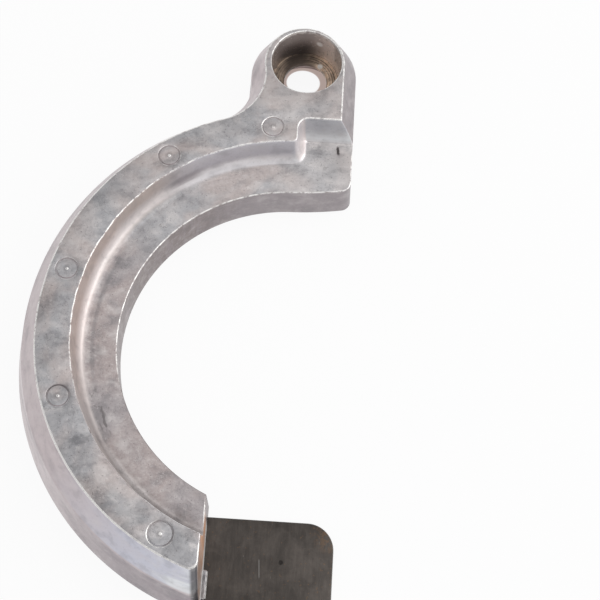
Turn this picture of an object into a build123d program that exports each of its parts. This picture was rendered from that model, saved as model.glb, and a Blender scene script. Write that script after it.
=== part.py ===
from build123d import *
import os
from math import cos, radians, sin, sqrt, tan

# One half of a split-ring hull anode for a boat's underwater drive leg, all sizes in millimetres.
# The ring axis is Z, the mounting face is Z = 0 and the ear's bolt lies on +Y.

# Heights above the mounting face
height = 18.35
shoulder_height = 10.8
band_height = 10.8

# Ring, from the boss outwards: inner band, rib, bevel down to the shoulder, leaning wall down to the base
inner_radius = 38.65
band_width = 9.65
rib_width = 7.85
bevel_width = 3.85
wall_lean = 2.0
step_radius = inner_radius + band_width
top_radius = step_radius + rib_width
shoulder_radius = top_radius + bevel_width
base_radius = shoulder_radius + wall_lean

# Bolt in the ear, outside the ring's wall
bolt_clearance = 8.0
bolt_hole_radius = 5.25
bolt_offset = base_radius + bolt_clearance

# Counterbore in the ear, the steel seat at its bottom and the hollow under the seat
counterbore_mouth_radius = 8.4
counterbore_taper = 0.3
counterbore_floor_radius = counterbore_mouth_radius - counterbore_taper
seat_bedding = 2.2
seat_radius = counterbore_floor_radius + seat_bedding
seat_thickness = 1.5
seat_top = 8.9
seat_ledge = 1.3
ear_pocket_radius = seat_radius - seat_ledge

# Ear wall around the counterbore; its centre lies a little off the bolt, towards the ring
ear_rim = 1.1
ear_bevel = 3.25
ear_lean = 0.5
ear_top_radius = counterbore_mouth_radius + ear_rim
ear_shoulder_radius = ear_top_radius + ear_bevel
ear_base_radius = ear_shoulder_radius + ear_lean
ear_shift_x = -0.45
ear_shift_y = -0.25

# Hollow blend between ear and ring, at the base, the shoulder and the top
blend_base_radius = 9.0
blend_shoulder_radius = 10.0
blend_top_radius = 13.4

# Ends of the half ring
tab_face_offset = 15.4
tab_face_draft = 2.0
tab_corner_radius = 1.8
flare_start_angle = 2.0
flare_radius = 83.0
flare_corner_radius = 2.4

# Step from the rib down to the inner band, and the notch where it opens at the ear end
riser_draft = 8.0
riser_foot_radius = 1.4
notch_depth = 6.4
notch_x = -1.05
notch_y = step_radius + notch_depth
notch_outer_corner = 1.2
notch_inner_corner = 2.7

# Ejector marks along the middle of the rib
mark_circle_radius = step_radius + rib_width / 2
mark_radius = 2.8
mark_rim = 0.45
mark_depth = 0.2
mark_angles = (97.6, 125.7, 166.3, 199.6, 242.2)

# Steel lug cast into the tab end, level with the mounting face
lug_thickness = 1.5
lug_standing_in = 0.6
lug_inner_offset = inner_radius - lug_standing_in
lug_reach = base_radius
lug_overhang = 12.85
lug_corner_radius = 6.0
tongue_length = 9.0
tongue_width = 12.0
tongue_middle = (lug_inner_offset + lug_reach) / 2

# Small cast lip on the lug, beside the end face
lip_setback = 11.95
lip_width = 6.5
lip_thickness = 0.95
lip_height = 1.3
lip_root = 3.8
lip_start = lug_inner_offset + lip_setback

# Softened upper edges of the casting
edge_radius = 0.25


def polar(radius: float, angle: float) -> Vector:
    """Point at a radius and an angle in degrees from +X."""
    return Vector(radius * cos(radians(angle)), radius * sin(radians(angle)))


def corner(face: Face, point: Vector, radius: float) -> Face:
    """Rounds the corner of a flat face that lies nearest a point."""
    vertex = face.vertices().sort_by_distance(point)[0]
    return fillet(vertex, radius)


def casting_outline(z: float, ring_radius: float, ear_radius: float, blend_radius: float) -> Face:
    """Plan of the casting at one height."""
    ear_centre = Vector(ear_shift_x, bolt_offset + ear_shift_y)
    spacing = ear_centre.length
    along = ear_centre.normalized()
    ring_reach = ring_radius + blend_radius
    ear_reach = ear_radius + blend_radius
    forward = (ring_reach**2 - ear_reach**2 + spacing**2) / (2 * spacing)
    sideways = sqrt(ring_reach**2 - forward**2)
    blend_centre = along * forward + Vector(-along.Y, along.X) * sideways
    on_ear = ear_centre + (blend_centre - ear_centre) * (ear_radius / ear_reach)
    on_ring = blend_centre * (ring_radius / ring_reach)
    to_corner = (on_ear + on_ring) * 0.5 - blend_centre
    on_blend = blend_centre + to_corner.normalized() * blend_radius
    ear_side = ear_centre + Vector(ear_radius, 0)
    ear_tip = ear_centre + Vector(0, ear_radius)

    tab_x = -tab_face_offset - z * tan(radians(tab_face_draft))
    tab_outer = Vector(tab_x, -sqrt(ring_radius**2 - tab_x**2))
    tab_inner = Vector(tab_x, -sqrt(inner_radius**2 - tab_x**2))

    flare_start = polar(inner_radius, 90 + flare_start_angle)
    flare_centre = polar(inner_radius + flare_radius, 90 + flare_start_angle)
    flare_end_x = ear_side.X
    flare_middle_x = (flare_start.X + flare_end_x) / 2
    flare_middle, flare_end = (
        Vector(x, flare_centre.Y - sqrt(flare_radius**2 - (x - flare_centre.X) ** 2))
        for x in (flare_middle_x, flare_end_x)
    )

    edges = [
        Line(flare_end, ear_side),
        ThreePointArc(ear_side, ear_tip, on_ear),
        ThreePointArc(on_ear, on_blend, on_ring),
        ThreePointArc(on_ring, Vector(-ring_radius, 0), tab_outer),
        Line(tab_outer, tab_inner),
        ThreePointArc(tab_inner, Vector(-inner_radius, 0), flare_start),
        ThreePointArc(flare_start, flare_middle, flare_end),
    ]
    face = make_face(edges)
    face = corner(face, tab_outer, tab_corner_radius)
    face = corner(face, flare_end, flare_corner_radius)
    return Pos(0, 0, z) * face


def casting_blank() -> Part:
    """Casting before its recesses: lower wall to the shoulder, then the bevel to the top."""
    base = casting_outline(0, base_radius, ear_base_radius, blend_base_radius)
    shoulder = casting_outline(
        shoulder_height, shoulder_radius, ear_shoulder_radius, blend_shoulder_radius
    )
    top = casting_outline(height, top_radius, ear_top_radius, blend_top_radius)
    return loft([base, shoulder], ruled=True) + loft([shoulder, top], ruled=True)


def recess_outline(z: float) -> Face:
    """Plan of the recess over the inner band at one height: it widens upwards."""
    shrink = (height - z) * tan(radians(riser_draft))
    ring = step_radius - shrink
    side_x = notch_x + shrink
    end_y = notch_y - shrink
    far = base_radius + ear_base_radius
    meet = Vector(side_x, sqrt(ring**2 - side_x**2))
    inner_corner = Vector(side_x, end_y)
    tail = Vector(0, -ring)
    edges = [
        ThreePointArc(tail, Vector(-ring, 0), meet),
        Line(meet, inner_corner),
        Line(inner_corner, Vector(far, end_y)),
        Line(Vector(far, end_y), Vector(far, -ring)),
        Line(Vector(far, -ring), tail),
    ]
    face = make_face(edges)
    face = corner(face, meet, notch_outer_corner + shrink)
    face = corner(face, inner_corner, notch_inner_corner - shrink)
    return Pos(0, 0, z) * face


def recess_tool() -> Part:
    """Body of the recess, with its foot rounded."""
    tool = loft([recess_outline(band_height), recess_outline(height)], ruled=True)
    foot = tool.edges().group_by(Axis.Z)[0]
    open_side = (base_radius + ear_base_radius) / 2 + notch_x
    inward = [edge for edge in foot if edge.center().X < open_side]
    riser = [edge for edge in inward if edge.center().Y > -step_radius / 2]
    return fillet(riser, riser_foot_radius)


def lug_outline() -> Face:
    """Plan of the lug outside the casting, from its end face outwards."""
    face = make_face(
        Polyline(
            (-tab_face_offset, -lug_inner_offset),
            (lug_overhang, -lug_inner_offset),
            (lug_overhang, -lug_reach),
            (-tab_face_offset, -lug_reach),
            close=True,
        )
    )
    face = corner(face, Vector(lug_overhang, -lug_inner_offset), lug_corner_radius)
    return corner(face, Vector(lug_overhang, -lug_reach), lug_corner_radius)


def steel_lug() -> Part:
    """Flat steel lug with a tongue held in the casting."""
    plate = extrude(lug_outline(), lug_thickness)
    tongue = Pos(-tab_face_offset - tongue_length / 2, -tongue_middle, lug_thickness / 2) * Box(
        tongue_length, tongue_width, lug_thickness
    )
    return plate + tongue


def bolt_seat() -> Part:
    """Round steel plate under the bolt head."""
    plate = Cylinder(seat_radius, seat_thickness) - Cylinder(bolt_hole_radius, seat_thickness)
    return Pos(0, bolt_offset, seat_top - seat_thickness / 2) * plate


def ear_hollow() -> Part:
    """Counterbore above the seat, the seat's own place and the hollow below it."""
    depth = height - seat_top
    funnel = Cone(counterbore_floor_radius, counterbore_mouth_radius, depth)
    mouth = Pos(0, 0, seat_top + depth / 2) * funnel
    seat = Pos(0, 0, seat_top - seat_thickness / 2) * Cylinder(seat_radius, seat_thickness)
    below = seat_top - seat_thickness
    pocket = Pos(0, 0, below / 2) * Cylinder(ear_pocket_radius, below)
    return Pos(0, bolt_offset, 0) * (mouth + seat + pocket)


def ejector_mark(angle: float) -> Part:
    """Shallow round mark with a groove around it."""
    place = polar(mark_circle_radius, angle)
    disc = Cylinder(mark_radius, mark_depth, align=(Align.CENTER, Align.CENTER, Align.MAX))
    rim = Cylinder(mark_radius - mark_rim, mark_depth / 2, align=(Align.CENTER, Align.CENTER, Align.MAX))
    floor = Pos(0, 0, -mark_depth / 2) * rim
    return Pos(place.X, place.Y, height) * (disc - floor)


def cast_lip() -> Part:
    """Low lip that the metal left on the lug beside the end face."""
    rooted = lip_thickness + lip_root
    lip = Box(rooted, lip_width, lip_height, align=(Align.MAX, Align.MAX, Align.MIN))
    return Pos(lip_thickness - tab_face_offset, -lip_start, lug_thickness) * lip


def soften(body: Part) -> Part:
    """Rounds the edges around the casting's upper face."""
    upper = body.edges().filter_by_position(Axis.Z, height, height)
    return fillet(upper, edge_radius)


def anode_casting() -> Part:
    """Zinc half ring with its ear, step, recesses and marks."""
    body = casting_blank() - recess_tool() - ear_hollow()
    body = soften(body) + cast_lip() - steel_lug()
    for angle in mark_angles:
        body -= ejector_mark(angle)
    return body


os.makedirs("parts", exist_ok=True)
export_step(anode_casting(), "parts/anode_casting.step")
export_step(bolt_seat(), "parts/bolt_seat.step")
export_step(steel_lug(), "parts/steel_lug.step")
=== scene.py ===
"""Looks of one half of a split-ring hull anode: the cast half ring, its bolt seat and its steel lug."""

import logging
from dataclasses import dataclass, field
from enum import Enum
from math import atan2, ceil, cos, hypot, pi, radians, sin, sqrt, tan
from typing import Any, Mapping, Sequence, Union

import bpy
import numpy as np
from mathutils import Matrix, Vector
from mathutils.geometry import delaunay_2d_cdt


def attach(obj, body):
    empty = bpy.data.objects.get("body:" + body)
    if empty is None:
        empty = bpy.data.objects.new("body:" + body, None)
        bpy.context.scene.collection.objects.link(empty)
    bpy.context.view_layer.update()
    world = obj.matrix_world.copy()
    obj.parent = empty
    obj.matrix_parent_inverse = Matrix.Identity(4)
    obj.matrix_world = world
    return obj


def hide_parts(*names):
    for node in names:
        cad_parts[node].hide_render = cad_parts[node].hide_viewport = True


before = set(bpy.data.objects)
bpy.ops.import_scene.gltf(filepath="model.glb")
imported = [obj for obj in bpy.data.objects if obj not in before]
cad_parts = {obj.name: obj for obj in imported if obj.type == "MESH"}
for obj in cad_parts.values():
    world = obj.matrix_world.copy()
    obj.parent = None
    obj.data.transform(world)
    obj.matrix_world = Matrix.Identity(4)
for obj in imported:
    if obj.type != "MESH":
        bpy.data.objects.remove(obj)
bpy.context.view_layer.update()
MM = 0.001
LOG = logging.getLogger("anode")

# Name under which a mesh carries its scuffing and painted highlights, and painted shade below zero
WEAR_LIGHT = "wear_light"
# Edges that bend more than this stay sharp
SHARP_DEGREES = 38
# Triangles inside the outlines alone, with corners this close taken as one
INSIDE_FACES = 1
MERGE_DISTANCE = 1e-7

Row = list[int]
Points = np.ndarray
WearLight = Union[float, np.ndarray]
Pair = tuple[float, float]
Triple = tuple[float, float, float]
Place = Triple
Colour = Triple

# Places that a shape and its finish share: the bolt on +Y, and the dark pit on the inner band
BOLT_Y = 70.0
SLOT_PIT: Pair = (8.85, 50.5)


class Turn(Enum):
    """Which way a round run bends as it is followed."""

    LEFT = 1
    RIGHT = -1


class Slot(Enum):
    """Material slots of the record."""

    ZINC = "cast_zinc"
    SEAT = "turned_steel"
    PLATE = "plate_steel"


def point(x: float, y: float) -> Points:
    """A flat point in millimetres."""
    return np.array((x, y), float)


def line(start: Points, end: Points, count: int) -> Points:
    """Points along a straight run.

    Args:
        start: First point.
        end: Where the run ends; it is left to the next run.
        count: How many points.

    Returns:
        The points, one per row.
    """
    share = np.arange(count)[:, None] / count
    return start + (end - start) * share


def arc(centre: Points, start: Points, end: Points, count: int, turn: Turn) -> Points:
    """Points along a round run.

    Args:
        centre: Centre of the round.
        start: First point.
        end: Where the run ends; it is left to the next run.
        count: How many points.
        turn: Which way the run bends.

    Returns:
        The points, one per row.
    """
    first = atan2(*(start - centre)[::-1])
    last = atan2(*(end - centre)[::-1])
    swing = (last - first) * turn.value % (2 * pi) * turn.value
    angles = first + swing * np.arange(count) / count
    reach = hypot(*(start - centre))
    return centre + reach * np.stack((np.cos(angles), np.sin(angles)), axis=1)


def circle(centre: Points, radius: float, count: int) -> Points:
    """Points of a whole circle, anticlockwise from +X."""
    angles = 2 * pi * np.arange(count) / count
    return centre + radius * np.stack((np.cos(angles), np.sin(angles)), axis=1)


def eased(share: Points) -> Points:
    """Shares held between 0 and 1 and eased at both ends."""
    share = np.clip(share, 0.0, 1.0)
    return share * share * (3 - 2 * share)


ORIGIN = point(0.0, 0.0)


class Shell:
    """A mesh in the making: rows of points, the faces between them, and painted light on each corner."""

    def __init__(self) -> None:
        """Starts with nothing in it."""
        self.points: list[Triple] = []
        self.faces: list[tuple[int, ...]] = []
        self.wear_light: list[float] = []
        self.flat: list[bool] = []

    def row(self, plan: Points, z: float) -> Row:
        """Adds a row of points.

        Args:
            plan: Flat places of the points.
            z: Their height.

        Returns:
            The numbers of the new points.
        """
        start = len(self.points)
        self.points.extend((x, y, z) for x, y in plan.tolist())
        return list(range(start, len(self.points)))

    def strip(self, first: Row, second: Row, wear_light: tuple[WearLight, WearLight] = (0.0, 0.0)) -> None:
        """Joins two closed rows of the same length with smooth faces.

        Args:
            first: Row that the strip starts from.
            second: Row that it runs to.
            wear_light: Painted highlight and scuffing along each row, shade if below zero; one number or
                point by point.
        """
        count = len(first)
        start, end = (np.broadcast_to(np.asarray(wear_lights, float), (count,)).tolist() for wear_lights in wear_light)
        for i in range(count):
            j = (i + 1) % count
            self.faces.append((first[i], first[j], second[j], second[i]))
            self.wear_light.extend((start[i], start[j], end[j], end[i]))
            self.flat.append(False)

    def stack(self, rows: Sequence[Row], wear_light: Sequence[WearLight] = ()) -> None:
        """Joins closed rows of the same length, each to the next.

        Args:
            rows: The rows, in order.
            wear_light: Painted highlight and scuffing along each row, shade if below zero; none where left
                out.
        """
        wear_lights = wear_light or [0.0] * len(rows)
        for k in range(len(rows) - 1):
            self.strip(rows[k], rows[k + 1], (wear_lights[k], wear_lights[k + 1]))

    def cap(self, outer: Row, holes: Sequence[Row] = (), upward: bool = True, wear_light: float = 0.0) -> None:
        """Fills a level outline that may have holes.

        Args:
            outer: Row around the outside.
            holes: Rows around the holes.
            upward: Whether the fill faces up.
            wear_light: Painted highlight and scuffing there, shade if below zero.
        """
        rows = [outer, *holes]
        order = [i for row in rows for i in row]
        owner = [k for k, row in enumerate(rows) for _ in row]
        spots = [Vector(self.points[i][:2]) for i in order]
        sides: list[tuple[int, int]] = []
        for row in rows:
            start, count = len(sides), len(row)
            sides += [(start + k, start + (k + 1) % count) for k in range(count)]
        _, _, faces, sources, _, _ = delaunay_2d_cdt(spots, sides, [], INSIDE_FACES, MERGE_DISTANCE)
        for face in faces:
            corners = [sources[k][0] for k in face]
            owners = {owner[k] for k in corners}
            if len(owners) == 1 and owners != {0}:
                continue
            a, b, c = (order[k] for k in corners)
            (ax, ay, _), (bx, by, _), (cx, cy, _) = (self.points[k] for k in (a, b, c))
            faces_up = (bx - ax) * (cy - ay) - (by - ay) * (cx - ax) > 0
            self.faces.append((a, b, c) if faces_up == upward else (a, c, b))
            self.wear_light.extend((wear_light, wear_light, wear_light))
            self.flat.append(True)

    def spin(self, centre: Points, profile: Sequence[tuple[float, float, WearLight]], count: int) -> list[Row]:
        """Turns a profile about an upright axis.

        Args:
            centre: Place of the axis.
            profile: Radius, height, and painted highlight and scuffing of each point, in order.
            count: Points around the axis.

        Returns:
            One row for each point of the profile.
        """
        rows = [self.row(circle(centre, radius, count), z) for radius, z, _ in profile]
        self.stack(rows, [wear_light for _, _, wear_light in profile])
        return rows

    def make(self, name: str) -> bpy.types.Object:
        """Turns the shell into an object in the scene.

        Args:
            name: Name of the piece.

        Returns:
            The new object, at the origin.
        """
        mesh = bpy.data.meshes.new(name)
        mesh.from_pydata([tuple(v * MM for v in p) for p in self.points], [], self.faces)
        mesh.polygons.foreach_set("use_smooth", [not flat for flat in self.flat])
        wear_lights = mesh.attributes.new(WEAR_LIGHT, "FLOAT", "CORNER")
        wear_lights.data.foreach_set("value", self.wear_light)
        mesh.set_sharp_from_angle(angle=radians(SHARP_DEGREES))
        mesh.update()
        piece = bpy.data.objects.new(name, mesh)
        bpy.context.scene.collection.objects.link(piece)
        LOG.info("%s: %d points, %d faces", name, len(mesh.vertices), len(mesh.polygons))
        return piece


Operand = Union["Value", float]


class Value:
    """A number that varies over a surface; arithmetic on it adds Math nodes."""

    def __init__(self, graph: "Graph", socket: bpy.types.NodeSocket) -> None:
        """Wraps an output socket of a graph."""
        self.graph = graph
        self.socket = socket

    def __add__(self, other: Operand) -> "Value":
        """self + other."""
        return self.graph.math("ADD", self, other)

    def __radd__(self, other: Operand) -> "Value":
        """other + self."""
        return self.graph.math("ADD", other, self)

    def __sub__(self, other: Operand) -> "Value":
        """self - other."""
        return self.graph.math("SUBTRACT", self, other)

    def __rsub__(self, other: Operand) -> "Value":
        """other - self."""
        return self.graph.math("SUBTRACT", other, self)

    def __mul__(self, other: Operand) -> "Value":
        """self * other."""
        return self.graph.math("MULTIPLY", self, other)

    def __rmul__(self, other: Operand) -> "Value":
        """other * self."""
        return self.graph.math("MULTIPLY", other, self)

    def __truediv__(self, other: Operand) -> "Value":
        """self / other."""
        return self.graph.math("DIVIDE", self, other)

    def __rtruediv__(self, other: Operand) -> "Value":
        """other / self."""
        return self.graph.math("DIVIDE", other, self)

    def __pow__(self, other: Operand) -> "Value":
        """self to a power."""
        return self.graph.math("POWER", self, other)

    def __abs__(self) -> "Value":
        """Size of self, without its sign."""
        return self.graph.math("ABSOLUTE", self)

    def ramp(self, low: float, high: float) -> "Value":
        """Smooth rise from 0 at low to 1 at high; it falls where high is the lower one."""
        node = self.graph.node(
            "ShaderNodeMapRange",
            {"interpolation_type": "SMOOTHSTEP"},
            {"Value": self, "From Min": low, "From Max": high},
        )
        return Value(self.graph, node.outputs[0])

    def within(self, low: float, low_full: float, high_full: float, high: float) -> "Value":
        """Smooth rise from low to low_full, 1 from there to high_full, and a fall to 0 at high."""
        return self.ramp(low, low_full) * self.ramp(high, high_full)

    def hypot(self, other: "Value") -> "Value":
        """Length of a run that goes self one way and other across it."""
        return (self * self + other * other) ** 0.5


Feed = Union[Value, bpy.types.NodeSocket, float, Sequence[float]]


class Graph:
    """The node tree of one material or of the world."""

    def __init__(self, tree: bpy.types.NodeTree) -> None:
        """Empties a node tree and takes it over."""
        tree.nodes.clear()
        self.tree = tree

    def node(
        self, kind: str, settings: Mapping[str, Any], feeds: Mapping[Union[int, str], Feed]
    ) -> bpy.types.Node:
        """Adds a node.

        Args:
            kind: The node's type.
            settings: Its own settings, set before its sockets.
            feeds: A value or a link for each named or numbered input.

        Returns:
            The new node.
        """
        node = self.tree.nodes.new(kind)
        for name, setting in settings.items():
            setattr(node, name, setting)
        for key, feed in feeds.items():
            socket = node.inputs[key]
            if isinstance(feed, Value):
                self.tree.links.new(feed.socket, socket)
            elif isinstance(feed, bpy.types.NodeSocket):
                self.tree.links.new(feed, socket)
            elif isinstance(feed, (int, float)):
                socket.default_value = feed
            else:
                wanted = len(socket.default_value)
                socket.default_value = (*feed, 1.0)[:wanted]
        return node

    def value(self, kind: str, settings: Mapping[str, Any], feeds: Mapping, output: str) -> Value:
        """Adds a node and gives its named output as a number."""
        return Value(self, self.node(kind, settings, feeds).outputs[output])

    def math(self, operation: str, left: Operand, right: Operand = 0.0) -> Value:
        """Adds one Math node.

        Args:
            operation: The node's operation.
            left: First number.
            right: Second number.

        Returns:
            The node's result.
        """
        node = self.node("ShaderNodeMath", {"operation": operation}, {0: left, 1: right})
        return Value(self, node.outputs[0])

    def noise(self, where: Feed, scale: float, detail: float, rough: float, twist: float = 0.0) -> Value:
        """Cloudy numbers around a half.

        Args:
            where: Places to read.
            scale: Clouds per unit.
            detail: Finer layers.
            rough: Strength of the finer layers.
            twist: How far the clouds are bent.

        Returns:
            The cloud's value.
        """
        feeds = {"Vector": where, "Scale": scale, "Detail": detail, "Roughness": rough, "Distortion": twist}
        return self.value("ShaderNodeTexNoise", {}, feeds, "Fac")

    def mix(self, share: Feed, first: Feed, second: Feed) -> bpy.types.NodeSocket:
        """Colour between two colours.

        Args:
            share: How much of the second.
            first: Colour at 0.
            second: Colour at 1.

        Returns:
            The mixed colour.
        """
        feeds = {0: share, 6: first, 7: second}
        return self.node("ShaderNodeMix", {"data_type": "RGBA"}, feeds).outputs[2]

    def places(self) -> tuple[bpy.types.NodeSocket, Value, Value, Value]:
        """Place on the object in millimetres.

        Returns:
            The place as a vector, then its x, y and z.
        """
        spot = self.node("ShaderNodeTexCoord", {}, {}).outputs["Object"]
        scaled = self.node("ShaderNodeVectorMath", {"operation": "SCALE"}, {0: spot, "Scale": 1 / MM})
        where = scaled.outputs[0]
        return where, *self.parts(where)

    def parts(self, vector: Feed) -> tuple[Value, Value, Value]:
        """The three numbers of a vector."""
        node = self.node("ShaderNodeSeparateXYZ", {}, {0: vector})
        return Value(self, node.outputs[0]), Value(self, node.outputs[1]), Value(self, node.outputs[2])

    def distance(self, where: Feed, spot: Place) -> Value:
        """How far a place is from a spot."""
        return self.value("ShaderNodeVectorMath", {"operation": "DISTANCE"}, {0: where, 1: spot}, "Value")

    def vector(self, x: Feed, y: Feed, z: Feed) -> bpy.types.NodeSocket:
        """Joins three numbers to a vector."""
        return self.node("ShaderNodeCombineXYZ", {}, {0: x, 1: y, 2: z}).outputs[0]

    def wear_light(self) -> Value:
        """The scuffing and painted highlights and shade that the mesh carries."""
        return self.value("ShaderNodeAttribute", {"attribute_name": WEAR_LIGHT}, {}, "Fac")

    def bump(self, height: Value, depth_mm: float) -> bpy.types.NodeSocket:
        """Normals of a surface with small hollows and rises of a depth in millimetres."""
        feeds = {"Strength": 1.0, "Distance": depth_mm * MM, "Height": height}
        return self.node("ShaderNodeBump", {}, feeds).outputs["Normal"]

    def metal(self, constants: Mapping[str, Feed], varying: Mapping[str, Feed]) -> None:
        """Ends the tree in a surface shader.

        Args:
            constants: Inputs that are the same all over.
            varying: Inputs that change over the surface.
        """
        shader = self.node("ShaderNodeBsdfPrincipled", {}, {**constants, **varying})
        self.node("ShaderNodeOutputMaterial", {}, {"Surface": shader.outputs[0]})


def new_material(name: str) -> tuple[bpy.types.Material, Graph]:
    """Makes an empty material.

    Args:
        name: The material's name.

    Returns:
        The material and its graph.
    """
    material = bpy.data.materials.new(name)
    material.use_nodes = True
    return material, Graph(material.node_tree)


@dataclass(frozen=True)
class Stain:
    """A patch on the casting; place and reach in millimetres, its full middle as a share of the reach."""

    x: float
    y: float
    reach: float
    strength: float
    middle: float = 0.25

    def over(self, g: Graph, place: Feed) -> Value:
        """Strength of the patch at each flat place."""
        away = g.distance(place, (self.x, self.y, 0.0))
        return away.ramp(self.reach, self.reach * self.middle) * self.strength


@dataclass(frozen=True)
class Skin:
    """What the casting's colours are worked out from at each place on it; millimetres and radians.

    Attributes:
        g: Graph of the material.
        where: The place; x, y and z are its three numbers.
        radius: Distance from the ring's axis.
        turn: Angle about that axis, from the middle of the half ring towards the ear.
        aside: How far the surface faces along +X.
        outside: 1 along the rib's outer edge and beyond.
        at_tab: 1 by the tab's end face.
        by_tab: 1 on the foot of the step by the tab, which is painted paler against its shade.
        level: 1 where the surface faces up, and on that foot.
        tone: Widest clouds; blotch, fine and grain are smaller ones.
        flow: Clouds drawn out along the ring.
        drawn: Clouds drawn out up the walls.
        swept: Long clouds along the walls.
        smear: Wide clouds that lie aslant.
    """

    g: Graph
    where: bpy.types.NodeSocket
    x: Value
    y: Value
    z: Value
    radius: Value
    turn: Value
    aside: Value
    outside: Value
    at_tab: Value
    by_tab: Value
    level: Value
    tone: Value
    blotch: Value
    fine: Value
    grain: Value
    flow: Value
    drawn: Value
    swept: Value
    smear: Value

    @classmethod
    def of(cls, g: Graph) -> "Skin":
        """Reads a surface's places and directions and adds the clouds over it.

        Args:
            g: Graph of the material.

        Returns:
            The values.
        """
        where, x, y, z = g.places()
        radius = x.hypot(y)
        turn = g.math("ARCTAN2", y, x * -1.0)
        aside, _, up = g.parts(g.node("ShaderNodeTexCoord", {}, {}).outputs["Normal"])
        on_foot = radius.within(45.3, 46.3, 49.4, 50.2) * z.within(10.6, 10.8, 13.0, 16.0)
        slant = g.vector(x * 0.2 + y * 0.14, y * 0.3 - x * 0.12, z * 0.3)
        by_tab = on_foot * turn.ramp(-0.45, -0.8) * aside.ramp(0.97, 0.85)
        return cls(
            g=g,
            where=where,
            x=x,
            y=y,
            z=z,
            radius=radius,
            turn=turn,
            aside=aside,
            outside=radius.ramp(53.0, 55.0),
            at_tab=y.ramp(-38.0, -41.5),
            by_tab=by_tab,
            level=g.math("MAXIMUM", up.ramp(0.75, 0.97), by_tab),
            tone=g.noise(where, 0.06, 3.0, 0.55, 0.8),
            blotch=g.noise(where, 0.3, 6.0, 0.68, 0.8),
            fine=g.noise(where, 1.3, 4.0, 0.7),
            grain=g.noise(where, 5.0, 2.0, 0.6),
            flow=g.noise(g.vector(radius * 0.6, turn * 8.0, z * 0.5), 0.7, 4.0, 0.62, 1.0),
            drawn=g.noise(g.vector(x * 0.9, y * 0.9, z * 0.16), 0.7, 4.0, 0.6),
            swept=g.noise(g.vector(radius * 0.2, turn * 5.0, z * 0.24), 0.9, 3.0, 0.5, 0.5),
            smear=g.noise(slant, 1.0, 3.0, 0.5, 0.25),
        )


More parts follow.
